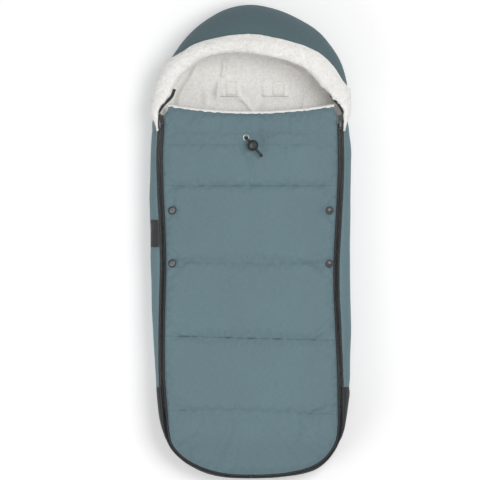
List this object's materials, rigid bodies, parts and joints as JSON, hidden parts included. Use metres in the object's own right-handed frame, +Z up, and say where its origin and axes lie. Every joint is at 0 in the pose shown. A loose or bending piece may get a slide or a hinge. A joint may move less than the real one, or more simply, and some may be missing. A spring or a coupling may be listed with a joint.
{
  "type": "stroller footmuff",
  "caption": "Padded stroller footmuff with a round hood, sherpa cuff, quilted front cover zipped along both sides and round the toe, and harness slots.",
  "frame": {"origin": "centre of the footprint at the underside of the back panel", "axes": "+Y towards the head end, +Z up out of the front cover, +X to the right seen from above"},
  "size_m": [0.4064, 0.948, 0.1471],
  "materials": {
    "shell_fabric": "matt grey-blue woven polyester",
    "hood_fabric": "matt darker grey-blue woven polyester",
    "gusset_fabric": "matt black woven polyester",
    "padding": "white polyester wadding",
    "fleece": "off-white short pile fleece",
    "sherpa": "off-white curly long pile fleece",
    "zip_tape": "black woven zip tape with nylon coil",
    "dark_metal": "satin black lacquered zinc",
    "silver_metal": "bright nickel",
    "black_plastic": "satin black moulded plastic",
    "cord": "black braided elastic cord",
    "label": "black woven ribbon, bare"
  },
  "bodies": {
    "shell": {"back_outer": "shell_fabric", "side_left_outer": "shell_fabric", "side_right_outer": "shell_fabric", "front_toe_outer": "shell_fabric", "hood_outer": "hood_fabric", "toe_outer": "gusset_fabric", "zip_end_tab": "gusset_fabric", "back_padding": "padding", "side_left_padding": "padding", "side_right_padding": "padding", "toe_padding": "padding", "hood_padding": "padding", "front_toe_padding": "padding", "back_lining": "fleece", "side_left_lining": "fleece", "side_right_lining": "fleece", "toe_lining": "fleece", "hood_lining": "fleece", "front_toe_lining": "fleece", "hood_cuff": "sherpa", "zip_wall_left": "zip_tape", "zip_wall_right": "zip_tape", "zip_toe_left": "zip_tape", "zip_toe_right": "zip_tape", "zip_stop_left": "dark_metal", "zip_stop_right": "dark_metal", "side_label": "label"},
    "front_lower": {"front_lower_outer": "shell_fabric", "front_lower_padding": "padding", "front_lower_lining": "fleece", "zip_lower_left": "zip_tape", "zip_lower_right": "zip_tape", "snap_lower_left": "silver_metal", "snap_lower_right": "dark_metal", "snap_back_lower_left": "dark_metal", "snap_back_lower_right": "dark_metal"},
    "front_flap": {"front_flap_outer": "shell_fabric", "front_flap_padding": "padding", "front_flap_lining": "fleece", "front_flap_piping": "fleece", "zip_flap_left": "zip_tape", "zip_flap_right": "zip_tape", "snap_upper_left": "silver_metal", "snap_upper_right": "dark_metal", "snap_back_upper_left": "dark_metal", "snap_back_upper_right": "dark_metal", "eyelet": "silver_metal", "drawcord_left": "cord", "drawcord_right": "cord", "cord_knot": "cord"},
    "cord_lock": {"cord_lock_body": "black_plastic", "cord_lock_spring": "silver_metal"},
    "lock_button": {"cord_lock_button": "black_plastic"},
    "slider_left": {"zip_slider_left": "dark_metal"},
    "slider_right": {"zip_slider_right": "dark_metal"},
    "pull_left": {"zip_pull_left": "dark_metal"},
    "pull_right": {"zip_pull_right": "dark_metal"},
    "harness_flap_left": {"harness_flap_left": "fleece"},
    "harness_flap_right": {"harness_flap_right": "fleece"}
  },
  "joints": [
    {"name": "front_lower_fold", "type": "hinge", "parent": "shell", "child": "front_lower", "pos_m": [0, -0.336, 0.102], "axis": [1, 0, 0], "range_deg": [0, 150]},
    {"name": "front_flap_fold", "type": "hinge", "parent": "front_lower", "child": "front_flap", "pos_m": [0, 0.01001, 0.102], "axis": [1, 0, 0], "range_deg": [0, 168]},
    {"name": "cord_lock_slide", "type": "slide", "parent": "front_flap", "child": "cord_lock", "axis": [0.6449, -0.7643, 0], "range_m": [0, 0.005]},
    {"name": "lock_button_press", "type": "slide", "parent": "cord_lock", "child": "lock_button", "axis": [0, 0, -1], "range_m": [0, 0.0025], "stiffness_N_per_m": 400, "springref_m": -0.001, "deforming": ["cord_lock_spring"]},
    {"name": "slider_left_travel", "type": "slide", "parent": "shell", "child": "slider_left", "axis": [0, -1, 0], "range_m": [0, 0.5915]},
    {"name": "pull_left_swing", "type": "hinge", "parent": "slider_left", "child": "pull_left", "pos_m": [-0.18, 0.2453, 0.0821], "axis": [-1, 0, 0], "range_deg": [0, 110]},
    {"name": "slider_right_travel", "type": "slide", "parent": "shell", "child": "slider_right", "axis": [0, -1, 0], "range_m": [0, 0.5915]},
    {"name": "pull_right_swing", "type": "hinge", "parent": "slider_right", "child": "pull_right", "pos_m": [0.18, 0.2453, 0.0821], "axis": [-1, 0, 0], "range_deg": [0, 110]},
    {"name": "harness_flap_left_lift", "type": "hinge", "parent": "shell", "child": "harness_flap_left", "pos_m": [-0.042, 0.326, 0.0175], "axis": [-1, 0, 0], "range_deg": [0, 100]},
    {"name": "harness_flap_right_lift", "type": "hinge", "parent": "shell", "child": "harness_flap_right", "pos_m": [0.049, 0.326, 0.0175], "axis": [-1, 0, 0], "range_deg": [0, 100]}
  ]
}
